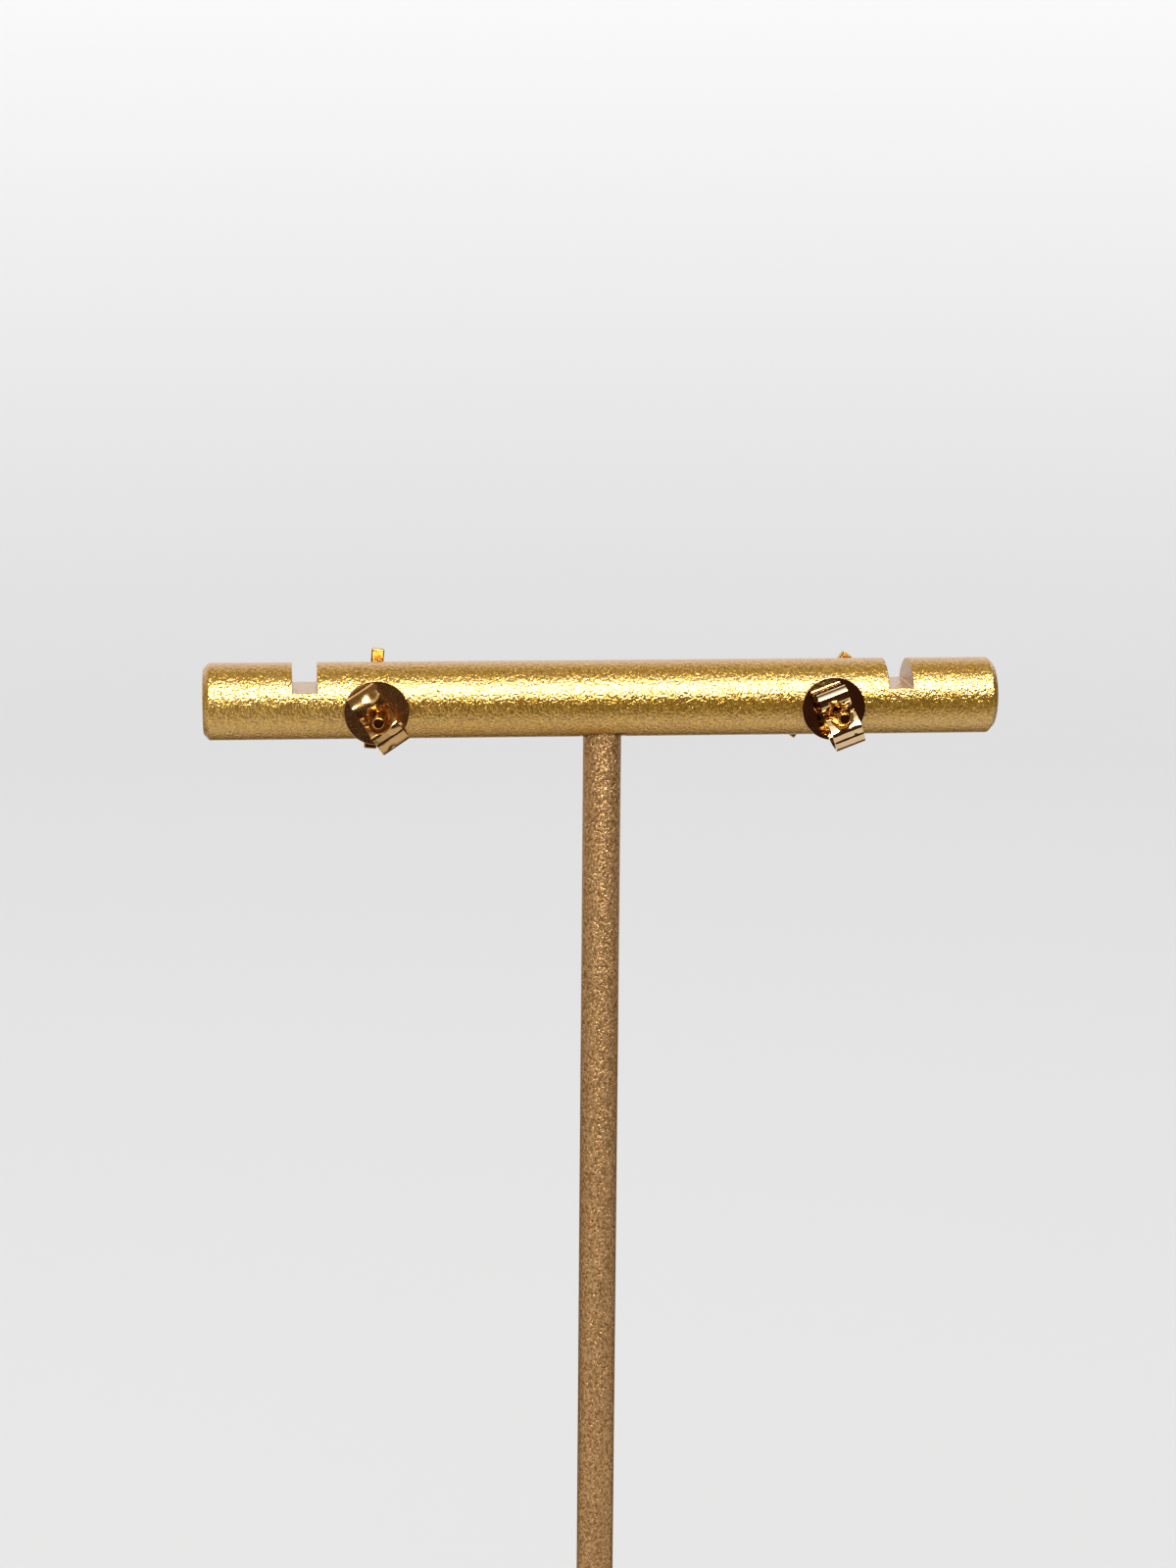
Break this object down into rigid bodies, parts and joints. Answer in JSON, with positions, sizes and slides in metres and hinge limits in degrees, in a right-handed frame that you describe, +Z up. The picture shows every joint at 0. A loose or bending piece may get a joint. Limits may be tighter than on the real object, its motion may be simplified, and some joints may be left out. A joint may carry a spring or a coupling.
{
  "type": "pair of diamond bar stud earrings on t-bar display stand",
  "caption": "Stud earrings with slim diamond-set bar heads and sliding butterfly clutches, worn through the round cross bar of a gold-painted T-bar display stand with hook notches.",
  "frame": {"origin": "centre of the foot plate's underside, where the stand rests on the table", "axes": "+X along the cross bar, -Y the side where the posts' tips and the clutches point, +Y the side of the heads' stones, +Z up"},
  "size_m": [0.062, 0.05, 0.1206],
  "materials": {
    "stand_paint": "sand-textured metallic gold paint",
    "polished_gold": "polished yellow gold",
    "diamond": "brilliant cut, polished"
  },
  "bodies": {
    "stand": {"foot_plate": "stand_paint", "upright_rod": "stand_paint", "cross_bar": "stand_paint", "left_stud": "polished_gold", "right_stud": "polished_gold", "left_stone_1": "diamond", "left_stone_2": "diamond", "left_stone_3": "diamond", "left_stone_4": "diamond", "left_stone_5": "diamond", "left_stone_6": "diamond", "left_stone_7": "diamond", "left_stone_8": "diamond", "right_stone_1": "diamond", "right_stone_2": "diamond", "right_stone_3": "diamond", "right_stone_4": "diamond", "right_stone_5": "diamond", "right_stone_6": "diamond", "right_stone_7": "diamond", "right_stone_8": "diamond"},
    "left_clutch": {"left_clutch": "polished_gold"},
    "right_clutch": {"right_clutch": "polished_gold"}
  },
  "joints": [
    {"name": "left_clutch_slide", "type": "slide", "parent": "stand", "child": "left_clutch", "axis": [0, -1, 0], "range_m": [0, 0.0052]},
    {"name": "right_clutch_slide", "type": "slide", "parent": "stand", "child": "right_clutch", "axis": [0, -1, 0], "range_m": [0, 0.0052]}
  ]
}
